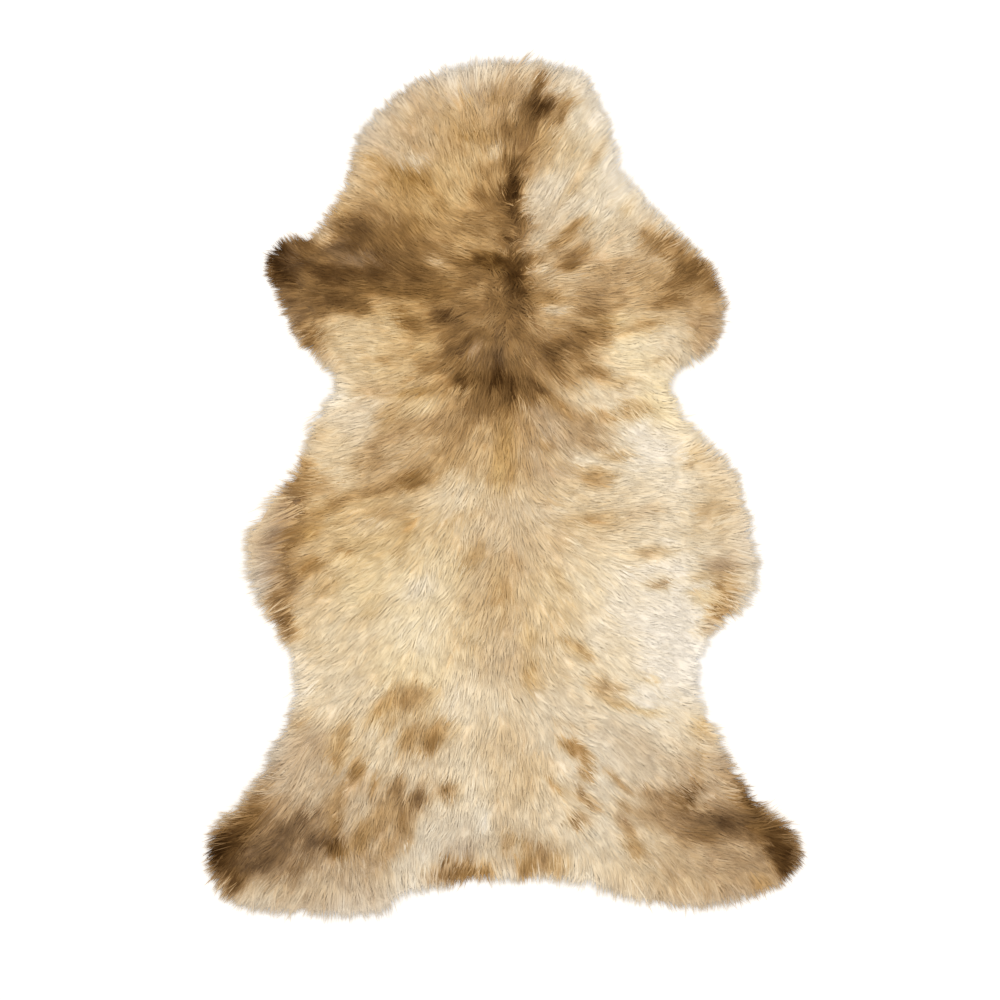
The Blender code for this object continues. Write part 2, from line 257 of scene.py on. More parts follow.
# The way the wool lies: x and y in millimetres, and the heading of its tips there, in degrees
# from +X towards +Y
COMBING = (
    (-174, 375, 160), (-98, 467, 125), (-87, 392, 112), (0, 462, 90), (76, 467, 35), (99, 392, 60),
    (82, 328, 40), (-121, 316, 135), (-185, 299, 140), (-249, 258, 175), (-185, 218, 180),
    (-121, 160, 180), (-22, 262, 158), (44, 250, 8), (0, 150, 270), (-34, 152, 243), (34, 150, 302),
    (-34, 205, 180), (46, 205, 2), (204, 235, 35), (233, 171, -40), (157, 195, 5), (64, 154, -25),
    (-63, 160, 200), (0, 67, 270), (-57, 61, 236), (53, 73, -45), (-121, 32, 205), (-238, -38, 194),
    (-226, -107, 215), (-121, -107, 222), (-191, -189, 220), (-52, -107, 250), (-87, -224, 250),
    (0, -154, 268), (64, -119, -50), (123, -15, -5), (227, -38, 0), (204, -131, -8), (157, -200, -22),
    (76, -224, -40), (0, -340, 270), (-98, -363, 255), (-203, -316, 238), (-296, -409, 222),
    (-238, -467, 250), (-145, -467, 268), (99, -363, -45), (169, -316, -40), (262, -409, -15),
    (326, -409, -25), (181, -467, -60), (18, -444, 270), (227, -287, -30), (297, -462, -50),
)

# How far each counts, and how much of it counts further off
COMB_REACH = 48.0 * MM
COMB_FAR_SHARE = 1e-6

# The wool's ground tone: x and y in millimetres, and the pigment and gold there in hundredths.
# Pigment goes from 0 for the palest cream to 100 for the darkest brown, and gold from -100 for
# grey to 100 for golden.
GROUND = (
    (-90, 466, 34, -50), (-12, 462, 40, -20), (-42, 480, 22, -90), (75, 475, 20, -50),
    (104, 430, 10, -30), (-150, 402, 31, -50), (-95, 412, 35, -10), (-50, 420, 36, 30),
    (-110, 345, 38, 60), (-168, 350, 37, 10), (-60, 350, 34, 50), (75, 388, 22, 10), (130, 372, 5, -10),
    (50, 335, 17, -50), (115, 325, 12, -20), (42, 300, 27, -30), (-50, 300, 37, 50), (-60, 250, 45, 30),
    (-40, 215, 43, 10), (-165, 175, 24, 20), (-185, 135, 26, 10), (-125, 150, 27, 40), (-90, 170, 43, 60),
    (-220, 240, 54, 0), (-20, 160, 60, 10), (44, 242, 30, -10), (115, 277, 27, -20), (160, 295, 22, -30),
    (150, 240, 38, 10), (225, 215, 43, 0), (195, 175, 18, -10), (150, 155, 9, 50), (60, 190, 34, 10),
    (92, 150, 31, 10), (-170, 80, 20, -40), (-192, 40, 23, 0), (-128, 42, 34, 0), (-90, 100, 31, 30),
    (0, 55, 38, 20), (-50, 55, 34, 10), (50, 60, 36, -40), (125, 115, 16, -10), (190, 92, 8, 80),
    (172, 50, 5, -30), (195, -10, 11, -20), (150, -20, 18, -10), (95, -45, 23, 0), (52, -58, 29, -10),
    (0, -60, 29, -20), (-60, -20, 22, 0), (-95, -65, 23, 30), (-160, -55, 28, 50), (-220, -55, 30, 30),
    (-222, -105, 28, 0), (-178, -104, 18, 50), (-100, -110, 16, 40), (-90, -178, 8, 30),
    (-48, -176, 25, 20), (-200, -172, 18, 10), (-214, -236, 17, -10), (0, -135, 31, 0),
    (0, -195, 29, -20), (50, -140, 23, 20), (60, -192, 24, 0), (105, -190, 12, -10), (130, -208, 14, 0),
    (150, -130, 6, -10), (180, -162, 0, -30), (104, -97, 12, 10), (200, -200, 0, -40),
    (204, -100, 3, -20), (247, -52, 21, 0), (270, -72, 27, -60), (255, 2, 25, -10), (-100, -212, 16, 40),
    (-38, -250, 14, -10), (0, -300, 26, -10), (-50, -335, 14, -10), (-84, -322, 24, -30),
    (60, -272, 18, -30), (18, -345, 26, 0), (112, -318, 15, -50), (-160, -285, 18, -10),
    (-240, -306, 38, -50), (-195, -345, 30, -40), (-238, -458, 32, -40), (-165, -440, 38, -30),
    (-165, -480, 30, -70), (-110, -445, 15, -50), (-50, -400, 16, -50), (0, -390, 25, -30),
    (0, -425, 24, -40), (50, -380, 18, -20), (95, -440, 15, -20), (120, -400, 16, -30),
    (153, -310, 26, -50), (205, -266, 14, -20), (205, -460, 34, -20), (150, -450, 27, -20),
    (270, -440, 42, -30), (225, -335, 34, -40), (176, -238, 2, -30),
)

# How far each counts, how much of it counts further off, and the least distance for that
TONE_REACH = 28.0 * MM
TONE_FAR_SHARE = 1e-5
FAR_OFFSET = 10.0 * MM

# The marks, each an ellipse: the x and y of its middle, its half length and half breadth, all in
# millimetres, the turn of its length in degrees, and its pigment and gold in hundredths. A later
# mark lies over earlier ones.
MARKS = (
    # Neck
    (26, 402, 34, 30, 70, 53, 10), (0, 360, 34, 28, 80, 42, 30), (-18, 308, 34, 24, 20, 55, 30),
    (-110, 355, 28, 15, -15, 57, 100), (-36, 404, 25, 8, 0, 53, 70), (-8, 446, 16, 10, 0, 46, 20),
    (-43, 445, 10, 6, 0, 40, 40), (-75, 325, 13, 11, 0, 48, 70), (-152, 380, 16, 10, 0, 43, 70),
    (-90, 452, 20, 10, 150, 35, -20), (-20, 486, 38, 8, 0, 24, -50), (-108, 378, 22, 9, 10, 25, -40),
    (-8, 388, 16, 8, 0, 22, -10), (110, 388, 26, 6, 58, 28, 0), (45, 400, 14, 5, 100, 36, 50),
    (45, 380, 12, 6, 100, 41, 10), (76, 345, 20, 7, 60, 27, 0), (143, 325, 16, 8, 60, 26, 10),
    (19, 416, 24, 14, 50, 54, 10), (41, 464, 22, 7, 95, 66, 10), (42, 444, 20, 12, -8, 90, 10),
    (34, 430, 13, 7, 90, 70, 10), (68, 453, 16, 5, 25, 38, -30), (72, 441, 16, 5, 20, 44, 20),
    (60, 428, 18, 6, 32, 58, 10), (3, 410, 15, 11, 0, 62, 10), (23, 398, 20, 7, 80, 60, 0),
    (24, 378, 18, 6, 95, 60, 10), (3, 376, 10, 10, 0, 62, 40), (-20, 335, 22, 9, -10, 60, 30),
    (-20, 362, 12, 8, 80, 51, 40), (10, 350, 26, 9, 88, 93, 10), (8, 334, 12, 10, 0, 98, 10),
    (12, 312, 20, 11, -50, 80, 10), (-26, 310, 14, 7, 80, 50, 30),
    # Left shoulder
    (-124, 229, 84, 14, -4, 66, 70), (-150, 276, 70, 40, -10, 70, 0), (-214, 288, 20, 14, 60, 40, 0),
    (-214, 250, 32, 10, -15, 81, 10), (-160, 246, 60, 10, 0, 74, 10), (-102, 247, 26, 15, -20, 70, 40),
    (-177, 307, 17, 10, -40, 73, -10), (-148, 315, 26, 8, -20, 52, 0), (-192, 324, 14, 7, 80, 44, 60),
    (-196, 275, 14, 10, 0, 66, -30), (-170, 264, 24, 8, 0, 58, -40), (-120, 286, 28, 14, 0, 60, 40),
    (-100, 302, 15, 9, 0, 52, 70), (-140, 202, 24, 10, 0, 22, 50), (-180, 212, 32, 13, -15, 71, 40),
    (-202, 217, 26, 12, -20, 66, 10), (-114, 195, 22, 9, -42, 64, 60), (-255, 262, 25, 24, 90, 88, 0),
    (-262, 272, 18, 13, 90, 92, 0), (-262, 246, 18, 12, 90, 94, 0), (-244, 264, 16, 10, 90, 74, -40),
    (-230, 281, 16, 8, -30, 72, 10), (-246, 226, 24, 14, 60, 72, -10), (-236, 195, 26, 13, 100, 64, -20),
    (-224, 170, 17, 13, 120, 72, 10), (-206, 150, 15, 9, 140, 42, 0), (-83, 262, 8, 6, 0, 30, -10),
    (-45, 257, 15, 8, 30, 60, 40), (-62, 240, 13, 12, 0, 48, 60), (-141, 147, 13, 6, 0, 42, 30),
    (-107, 128, 6, 12, 0, 37, 20), (-100, 110, 26, 5, 5, 44, 80), (-153, 110, 22, 8, 0, 35, 0),
    # Withers
    (-34, 170, 58, 38, 20, 58, 10), (-5, 225, 50, 42, 0, 60, 10), (34, 158, 36, 26, 0, 58, 0),
    (-20, 259, 30, 8, -5, 68, 70), (2, 261, 24, 8, 0, 82, 100), (8, 286, 16, 12, 0, 74, 0),
    (20, 265, 18, 8, -5, 70, 10), (-35, 226, 22, 9, 20, 47, 20), (14, 238, 20, 13, -70, 88, 40),
    (13, 210, 17, 11, 90, 76, 0), (16, 190, 14, 10, 90, 68, 0), (-50, 166, 32, 17, 60, 66, 0),
    (-28, 146, 18, 10, 60, 60, 0), (-45, 126, 23, 8, 15, 68, 40), (-7, 151, 32, 14, 80, 70, -20),
    (-80, 135, 18, 8, 10, 56, 30), (-70, 198, 17, 10, -10, 82, -10), (8, 117, 27, 16, 0, 80, 60),
    (-3, 119, 17, 15, 0, 93, 30), (30, 114, 24, 13, -30, 74, 10), (-36, 90, 28, 17, 30, 66, 10),
    (-62, 78, 32, 18, 25, 50, 0), (1, 93, 13, 20, 0, 70, 20), (-34, 188, 18, 7, 40, 48, 10),
    (-33, 157, 12, 6, 60, 46, -30), (-46, 124, 20, 7, 10, 74, 40), (-90, 162, 14, 12, 0, 30, 60),
    # Right shoulder
    (76, 293, 24, 8, 40, 50, 30), (62, 281, 14, 7, 35, 52, 20), (82, 267, 24, 12, 20, 56, 0),
    (72, 256, 12, 6, 0, 58, 40), (110, 253, 18, 12, 0, 42, 0), (136, 246, 22, 16, 70, 42, -10),
    (50, 215, 24, 11, -10, 52, 40), (106, 222, 24, 18, 0, 48, -10), (102, 205, 17, 7, 5, 60, 0),
    (60, 204, 16, 6, 10, 20, -30), (46, 250, 16, 6, 10, 25, -20), (98, 178, 25, 12, 0, 68, 10),
    (116, 190, 12, 8, 0, 46, 60), (128, 192, 9, 6, 0, 34, 60), (70, 165, 36, 7, 5, 64, 0),
    (58, 151, 15, 13, -40, 76, 0), (84, 151, 18, 9, 0, 58, 10), (98, 134, 22, 9, -20, 53, 20),
    (62, 130, 19, 9, -20, 60, 10), (158, 187, 30, 10, 12, 40, 30), (130, 121, 18, 8, 10, 38, 20),
    (168, 274, 16, 12, 30, 38, -10), (184, 285, 26, 12, -25, 62, 20), (206, 268, 32, 16, -45, 60, 10),
    (222, 248, 28, 14, -35, 72, 30), (206, 235, 24, 10, 12, 60, 20), (190, 216, 20, 11, 20, 58, 20),
    (243, 236, 16, 15, -60, 62, 10), (234, 182, 22, 15, 90, 53, -20), (232, 160, 14, 10, 30, 50, -20),
    (195, 146, 22, 7, 5, 32, 10), (190, 178, 22, 8, 5, 16, 0),
    # Left flank
    (-90, 75, 38, 12, 10, 42, 0), (-130, 79, 18, 18, 0, 40, 30), (-95, 91, 22, 7, 5, 24, 30),
    (-140, 50, 30, 10, 35, 43, -10), (-155, 25, 22, 16, 30, 42, 0), (-105, 8, 25, 12, 15, 61, 50),
    (-88, 32, 22, 9, 40, 33, 10), (-58, 50, 30, 10, 40, 46, 10), (-60, 31, 24, 8, 10, 40, 30),
    (-186, -14, 20, 8, 30, 48, 30), (-210, -28, 16, 8, 20, 49, 70), (-197, -18, 8, 8, 0, 46, 50),
    (-190, -43, 14, 6, 0, 38, 60), (-214, 0, 18, 14, 20, 41, 10), (-144, -3, 24, 9, 10, 49, 20),
    (-130, -29, 26, 11, 10, 40, 20), (-112, -50, 18, 11, 60, 40, 60), (-60, -40, 28, 4, 12, 35, 20),
    (-160, -42, 26, 9, 0, 20, 0), (-231, 18, 25, 10, 85, 62, 50), (-242, -4, 22, 13, 80, 64, 10),
    (-245, -26, 17, 14, 80, 75, -20), (-265, -46, 34, 17, 65, 46, -70), (-247, -62, 29, 12, 60, 56, 20),
    (-225, -50, 15, 8, 30, 45, 90), (-271, -82, 28, 13, 80, 57, -70), (-225, -94, 20, 12, 10, 52, 60),
    (-253, -114, 30, 11, 75, 61, -20), (-262, -136, 30, 11, 105, 68, -10),
    (-252, -164, 17, 12, 120, 74, 0), (-284, -104, 34, 11, 80, 34, -90), (-203, -114, 17, 10, 30, 36, 40),
    (-184, -73, 17, 8, 10, 37, 50), (-127, -77, 12, 8, 0, 37, 40), (-158, -145, 12, 8, 0, 28, 40),
    (-218, 62, 12, 8, 60, 36, 20), (-196, 104, 14, 12, 0, 8, 0),
    # Back
    (2, 45, 36, 11, 90, 46, 80), (-8, 18, 20, 10, 90, 38, 80), (-35, -80, 16, 12, 30, 38, 30),
    (-4, -114, 31, 14, 95, 37, 30), (12, -88, 14, 9, 0, 38, 0), (62, -105, 22, 8, -40, 30, 20),
    (-60, -10, 22, 10, 0, 17, -10), (40, -30, 26, 8, 0, 20, -30), (-98, -116, 28, 16, 20, 8, 0),
    # Right flank
    (64, 92, 32, 8, -25, 49, 30), (25, 73, 13, 10, 0, 47, 0), (92, 66, 34, 18, -8, 42, -20),
    (98, 48, 30, 5, 3, 43, -20), (46, 48, 14, 6, -20, 46, 10), (60, 30, 18, 8, -10, 34, 0),
    (118, 82, 22, 8, 10, 42, 10), (150, 89, 22, 9, 8, 41, 20), (118, 103, 22, 8, 0, 16, 0),
    (94, 27, 24, 9, 0, 13, -30), (106, 12, 18, 10, 10, 43, 20), (132, 37, 14, 6, 10, 40, 10),
    (102, -39, 26, 9, 5, 38, 20), (156, -28, 20, 9, 0, 31, -30), (226, 43, 15, 10, 10, 30, 20),
    (223, 28, 12, 8, 10, 38, 10), (240, -26, 24, 8, 0, 33, 0), (172, -75, 28, 8, 5, 34, 0),
    (176, -111, 14, 7, 0, 50, -30), (250, -92, 24, 11, 8, 47, -60), (230, -102, 18, 6, 5, 29, 0),
    (226, -126, 14, 10, 0, 20, 30), (256, -114, 22, 13, 60, 46, 20), (252, -144, 22, 12, 58, 72, 40),
    (238, -163, 14, 8, 50, 42, -20), (285, -110, 13, 24, 0, 18, -30), (82, -187, 19, 8, -30, 41, 40),
    (30, -172, 14, 12, 0, 32, 50),
    # Left thigh
    (-114, -245, 27, 16, 15, 50, 10), (-141, -258, 20, 10, 40, 43, 60), (-82, -285, 23, 17, 20, 50, 30),
    (-111, -292, 19, 12, 90, 48, 30), (-86, -298, 11, 9, 0, 58, 30), (-132, -270, 16, 8, 40, 37, 20),
    (-190, -292, 24, 13, 60, 42, 30), (-190, -314, 12, 8, 60, 44, 40), (-170, -328, 14, 8, 85, 56, 40),
    (-148, -342, 10, 7, 60, 50, 30), (-125, -350, 17, 8, 80, 53, -10), (-104, -363, 17, 12, 15, 68, -20),
    (-92, -340, 11, 7, 60, 42, -20), (-67, -351, 13, 11, 0, 55, 0), (-193, -358, 20, 9, 55, 43, 0),
    (-196, -384, 15, 8, 70, 53, 20), (-146, -384, 34, 15, 50, 47, 0), (-116, -390, 26, 13, 85, 52, 0),
    (-167, -405, 18, 11, 60, 50, 30), (-135, -418, 20, 11, 60, 43, 0), (-246, -280, 12, 10, 60, 34, 20),
    (-262, -340, 26, 14, 50, 34, -60),
    # Left hind leg
    (-268, -404, 56, 25, 20, 64, -30), (-238, -386, 22, 8, 20, 66, -40),
    (-215, -410, 26, 12, -5, 69, -40), (-199, -412, 12, 8, 0, 75, 10), (-189, -420, 11, 6, 0, 58, 60),
    (-276, -430, 34, 16, 15, 67, -30), (-244, -442, 32, 11, 30, 52, -30),
    (-262, -368, 22, 8, 30, 44, -40), (-286, -354, 26, 9, 58, 65, 0), (-300, -385, 27, 15, 42, 86, 20),
    (-322, -420, 34, 24, 75, 82, 10), (-332, -428, 24, 13, 95, 98, 10), (-300, -434, 16, 12, 30, 68, -30),
    (-315, -460, 24, 14, 60, 77, 0), (-225, -487, 24, 7, 8, 37, -40), (-277, -476, 15, 8, 20, 15, -40),
    # Rump
    (-64, -449, 30, 12, 8, 70, 0), (-32, -449, 24, 11, 10, 68, 70), (-52, -420, 26, 12, 20, 37, -80),
    (-27, -385, 9, 20, 5, 6, -40), (5, -410, 10, 12, 0, 40, 0), (44, -430, 26, 19, -25, 50, -10),
    (26, -443, 18, 11, 60, 56, 50), (62, -442, 12, 12, -50, 46, 30), (18, -412, 20, 7, -35, 36, 10),
    # Right thigh
    (76, -298, 15, 7, -20, 50, 40), (92, -312, 18, 7, -52, 58, 20), (93, -331, 13, 7, 85, 50, 10),
    (131, -340, 18, 5, -45, 50, 0), (93, -360, 15, 8, -38, 58, 0), (84, -386, 12, 7, 5, 63, 0),
    (140, -370, 10, 6, -20, 42, -10), (140, -393, 17, 10, -50, 52, -30), (150, -412, 18, 10, -60, 46, 20),
    (60, -345, 15, 5, -42, 39, 30), (168, -224, 9, 6, 0, 22, 40), (136, -252, 22, 5, -15, 28, 50),
    (168, -259, 20, 5, -8, 24, 50), (72, -273, 22, 5, -10, 30, -20), (118, -234, 21, 12, -22, 42, 0),
    (30, -215, 20, 11, 90, 35, 50), (185, -360, 32, 11, -18, 50, -20), (206, -366, 14, 8, 10, 60, 20),
    (225, -318, 22, 3, 80, 44, 30), (215, -352, 16, 5, 50, 86, 0), (232, -277, 17, 12, -60, 41, 60),
    # Right hind leg
    (178, -380, 28, 18, -10, 48, -20), (250, -384, 54, 20, -4, 65, -30), (268, -388, 34, 13, -5, 72, -30),
    (226, -402, 30, 12, 0, 57, -10), (272, -340, 34, 9, -57, 60, -10), (288, -364, 30, 12, -52, 80, 40),
    (304, -398, 26, 15, -25, 74, 20), (324, -412, 22, 20, -60, 88, 10), (330, -436, 22, 16, 90, 92, 10),
    (300, -464, 18, 10, 20, 52, 40), (222, -368, 14, 6, 10, 34, -20),
)

# How sharply the marks end, how far their outlines wander, and over what distance
MARK_EDGE = 2.6
MARK_WANDER = 4.5 * MM
MARK_GRAIN = 11.0 * MM

# The wool's colour for each amount of pigment: red, green and blue as a screen shows them, from
# 0 to 255
WOOL_SHADES = (
    (0.00, 252, 240, 220),
    (0.12, 242, 224, 192),
    (0.25, 225, 199, 158),
    (0.40, 198, 163, 116),
    (0.55, 154, 119, 75),
    (0.75, 100, 72, 41),
    (0.90, 66, 44, 21),
    (1.00, 46, 28, 11),
)

# The tint of wholly golden wool, and how much of its colour wholly grey wool loses
GOLDEN_TINT = (1.03, 0.97, 0.74, 1.0)
GREY_STRENGTH = 0.45

# The suede's colours, by the strength of its mottling
SUEDE_SHADES = (
    (0.3, 0.50, 0.38, 0.26),
    (0.7, 0.68, 0.56, 0.42),
)

# The fibres: how far they change the pigment, and their relief
FIBRE_GRAIN = 0.04
FIBRE_RELIEF = 0.25 * MM
FIBRE_STRENGTH = 0.25

# The strands' map, which has a cell for each strand: the places across a cell, the share of its
# height that is used, and the margin under that
BAKE_MAP = "OFBake"
MAP_COLUMNS = 256
CELL_SIDES = (0.15, 0.5, 0.85)
CELL_SHARE = 0.92
CELL_MARGIN = 0.04

# The floor, which lies just under the rug, and the pale surround
FLOOR_SIDE = 12.0
FLOOR_DROP = 0.2 * MM
FLOOR_COLOUR = (0.95, 0.92, 0.885, 1.0)
SURROUND_COLOUR = (1.0, 0.985, 0.965, 1.0)
SURROUND_STRENGTH = 0.64


def curve_between(p0, p1, p2, p3, fraction):
    """Points on the smooth curve from p1 to p2, its knots spaced by the root of each chord."""
    knots = [0.0]
    for start, end in ((p0, p1), (p1, p2), (p2, p3)):
        knots.append(knots[-1] + math.sqrt(np.linalg.norm(end[:2] - start[:2])))
    k = (knots[1] + (knots[2] - knots[1]) * fraction)[:, None]
    points = [p0, p1, p2, p3]
    for spans in (((0, 1), (1, 2), (2, 3)), ((0, 2), (1, 3)), ((1, 2),)):
        blends = []
        for first, second, (i, j) in zip(points, points[1:], spans):
            span = knots[j] - knots[i]
            blends.append(first * (knots[j] - k) / span + second * (k - knots[i]) / span)
        points = blends
    return points[0]


def wool_ring():
    """The closed curve through the landmarks, as even rows of x, y and overhang."""
    knots = np.array(WOOL_EDGE, float) * MM
    fraction = np.arange(STEPS_PER_SPAN) / STEPS_PER_SPAN
    following = np.roll(knots, -1, axis=0)
    spans = [
        curve_between(knots[i - 1], knots[i], following[i], following[(i + 1) % len(knots)], fraction)
        for i in range(len(knots))
    ]
    fine = np.concatenate(spans + [spans[0][:1]])
    travelled = np.concatenate(([0.0], np.cumsum(np.linalg.norm(np.diff(fine[:, :2], axis=0), axis=1))))
    stops = np.arange(RING_COUNT) * travelled[-1] / RING_COUNT
    return np.column_stack([np.interp(stops, travelled, column) for column in fine.T])


def unit(vectors):
    """The vectors at a length of one."""
    return vectors / np.maximum(np.linalg.norm(vectors, axis=-1), TINY)[..., None]


def smoothed(ring, passes):
    """A closed ring of points, each drawn towards the middle of its neighbours."""
    for _ in range(passes):
        ring = 0.5 * ring + 0.25 * (np.roll(ring, 1, axis=0) + np.roll(ring, -1, axis=0))
    return ring


def moved_in(ring, distance):
    """A clockwise ring with each point moved inwards by a distance."""
    along = np.roll(ring, -1, axis=0) - np.roll(ring, 1, axis=0)
    along = unit(smoothed(along, TANGENT_SMOOTHING))
    inward = np.column_stack([along[:, 1], -along[:, 0]])
    return smoothed(ring + inward * np.reshape(distance, (-1, 1)), SKIN_SMOOTHING)


def inset_of(points, ring):
    """How far inside a closed ring each point lies; negative outside it."""
    away = np.full(len(points), np.inf)
    crossings = np.zeros(len(points), int)
    for start, end in zip(ring, np.roll(ring, -1, axis=0)):
        line = end - start
        share = np.clip(((points - start) @ line) / max(line @ line, TINY), 0.0, 1.0)
        offset = points - start - share[:, None] * line
        away = np.minimum(away, np.einsum("ij,ij->i", offset, offset))
        spans = (start[1] > points[:, 1]) != (end[1] > points[:, 1])
        rise = line[1] if line[1] else 1.0
        crossings += spans & (points[:, 0] < start[0] + (points[:, 1] - start[1]) * line[0] / rise)
    return np.sqrt(away) * np.where(crossings % 2 == 1, 1.0, -1.0)


def grid_points():
    """The grid's points, one row each."""
    x = GRID_LOW[0] + np.arange(GRID_SHAPE[0]) * GRID_PITCH
    y = GRID_LOW[1] + np.arange(GRID_SHAPE[1]) * GRID_PITCH
    return np.stack(np.meshgrid(x, y, indexing="ij"), axis=-1).reshape(-1, 2)


def eased(value, low, high):
    """How far a value is from low to high, from 0 to 1, gently at both ends."""
    share = np.clip((value - low) / (high - low), 0.0, 1.0)
    return share * share * (3.0 - 2.0 * share)


def blended(values, low, share):
    """The values at the corners of each point's cell, blended by its shares of the way across."""
    i, j = low[..., 0], low[..., 1]
    u, v = np.split(share, 2, axis=-1)
    near = values[i, j] * (1 - u) + values[i + 1, j] * u
    far = values[i, j + 1] * (1 - u) + values[i + 1, j + 1] * u
    return near * (1 - v) + far * v


class Field:
    """Values on the grid over the rug, read evenly between its points."""

    def __init__(self, values):
        self.values = np.asarray(values).reshape(*GRID_SHAPE, -1)

    def at(self, points):
        place = (points - GRID_LOW) / GRID_PITCH
        place = np.clip(place, 0.0, np.array(GRID_SHAPE) - 1.001)
        low = place.astype(int)
        found = blended(self.values, low, place - low)
        return found[..., 0] if found.shape[-1] == 1 else found

    def blurred(self, passes):
        """The same field, each value drawn towards its neighbours'."""
        values = self.values
        for _ in range(passes):
            for axis in (0, 1):
                sides = np.roll(values, 1, axis=axis) + np.roll(values, -1, axis=axis)
                values = 0.5 * values + 0.25 * sides
        return Field(values)


def soft_noise(points, scale, seed):
    """Smooth chance from -1 to 1 that changes over the given scale."""
    cells = np.random.default_rng(seed).uniform(-1.0, 1.0, (NOISE_CELLS, NOISE_CELLS, 1))
    place = points / scale + NOISE_CELLS / 2
    low = np.floor(place).astype(int)
    return blended(cells, low % (NOISE_CELLS - 1), eased(place - low, 0.0, 1.0))[..., 0]


def turned(vectors, angle):
    """Plane vectors, each turned by its own angle."""
    cos, sin = np.cos(angle), np.sin(angle)
    x, y = vectors[..., 0], vectors[..., 1]
    return np.stack([x * cos - y * sin, x * sin + y * cos], axis=-1)


def combed_noise(rug, points, scale, length, seed):
    """Smooth chance, mostly from -1 to 1, drawn out over a length along the combing."""
    steps = 8
    total = soft_noise(points, scale, seed)
    for stride in (length / 2 / steps, -length / 2 / steps):
        place = points
        for _ in range(steps):
            place = place + rug.heading.at(place) * stride
            total = total + soft_noise(place, scale, seed)
    return total / math.sqrt(2 * steps + 1)


def nearness(points, places, reach, far_share):
    """How much each place counts at each point: little past its reach, but never nothing."""
    apart = np.linalg.norm(points[:, None] - places[None], axis=2)
    return np.exp(-((apart / reach) ** 2)) + far_share / (apart + FAR_OFFSET) ** 2


def combed_heading(points):
    """The way the wool lies at each point, and how strongly the combing there agrees."""
    combs = np.array(COMBING, float)
    headings = combs[:, 2] * DEGREES
    vectors = np.column_stack([np.cos(headings), np.sin(headings)])
    weight = nearness(points, combs[:, :2] * MM, COMB_REACH, COMB_FAR_SHARE)
    blend = weight @ vectors
    return unit(blend), np.linalg.norm(blend, axis=1) / weight.sum(axis=1)


def wool_tone(points):
    """The wool's pigment and gold: the ground tone with the marks laid over it in turn."""
    ground = np.array(GROUND, float)
    weight = nearness(points, ground[:, :2] * MM, TONE_REACH, TONE_FAR_SHARE)
    tone = (weight @ (ground[:, 2:] / 100)) / weight.sum(axis=1)[:, None]
    wander = [MARK_WANDER * soft_noise(points, MARK_GRAIN, seed) for seed in (51, 52)]
    wandered = points + np.column_stack(wander)
    for x, y, length, breadth, turn, *colour in MARKS:
        along, across = turned(wandered - np.array([x, y]) * MM, -turn * DEGREES).T
        reach = np.hypot(along / length, across / breadth) / MM
        tone += (np.array(colour) / 100 - tone) * np.exp(-(reach**MARK_EDGE))[:, None]
    return tone


def pile_height(points):
    """The height of the solid rug's top at each point, and 0 past its edge."""
    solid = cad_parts[RUG].data
    tree = BVHTree.FromPolygons(
        [vertex.co for vertex in solid.vertices],
        [tuple(polygon.vertices) for polygon in solid.polygons],
    )
    above = CAD_BOX[1][2] + HEADROOM
    down = Vector((0.0, 0.0, -1.0))
    hits = [tree.ray_cast(Vector((x, y, above)), down)[0] for x, y in points]
    return np.array([0.0 if hit is None else hit.z for hit in hits])


class Rug:
    """The fields over the rug: its edges, and the height, the lie and the tone of its wool."""

    def __init__(self):
        edge = wool_ring()
        self.wool_ring = edge[:, :2]
        self.skin_ring = moved_in(self.wool_ring, edge[:, 2])
        points = grid_points()
        self.inset = Field(inset_of(points, self.wool_ring))
        self.skin_inset = Field(inset_of(points, self.skin_ring))
        self.height = Field(self.rounded_pile(points))
        self.normal = Field(self.pile_normal())
        self.tone = Field(self.faded_at_rim(wool_tone(points)))
        heading, order = combed_heading(points)
        self.order = Field(order)
        self.heading = Field(self.drawn_out(heading))

    def faded_at_rim(self, tone):
        """The tone, paler and greyer towards the wool's edge but where it is dark."""
        fade = 1.0 - eased(self.inset.values.ravel(), *RIM_FADE)
        fade *= 1.0 - eased(tone[:, 0], *SPARED_PIGMENT)
        pigment = tone[:, 0] * (1 - RIM_PALENESS * fade)
        return np.column_stack([pigment, tone[:, 1] - RIM_GREYNESS * fade])

    def rounded_pile(self, points):
        """The solid rug's height, carried on past its edge and rounded off there."""
        inset = self.inset.values[..., 0]
        inside = (inset > CAD_RIM).astype(float)
        height = pile_height(points).reshape(GRID_SHAPE) * inside
        carried = Field(np.stack([height, inside], axis=-1)).blurred(passes=2)
        for _ in range(CARRY_STEPS):
            empty = carried.values[..., 1:] < LEAST_WEIGHT
            carried = Field(np.where(empty, carried.blurred(passes=2).values, carried.values))
        height = carried.values[..., 0] / np.maximum(carried.values[..., 1], TINY)
        return height * (RIM_SHARE + (1 - RIM_SHARE) * eased(inset, *RIM_ROUNDING))

    def pile_normal(self):
        """The direction square to the pile's surface."""
        soft = self.height.blurred(passes=3).values[..., 0]
        slope = np.stack(np.gradient(soft, GRID_PITCH), axis=-1)
        return unit(np.concatenate([-SHADED_SLOPE * slope, np.ones((*GRID_SHAPE, 1))], axis=-1))

    def drawn_out(self, heading):
        """The heading turned towards the outside near the wool's edge."""
        soft = self.inset.blurred(passes=4).values[..., 0]
        outward = unit(-np.stack(np.gradient(soft), axis=-1).reshape(-1, 2))
        share = RIM_TURN * (1.0 - eased(self.inset.values.ravel(), *RIM_TURNING))[:, None]
        return unit(heading * (1 - share) + outward * share)


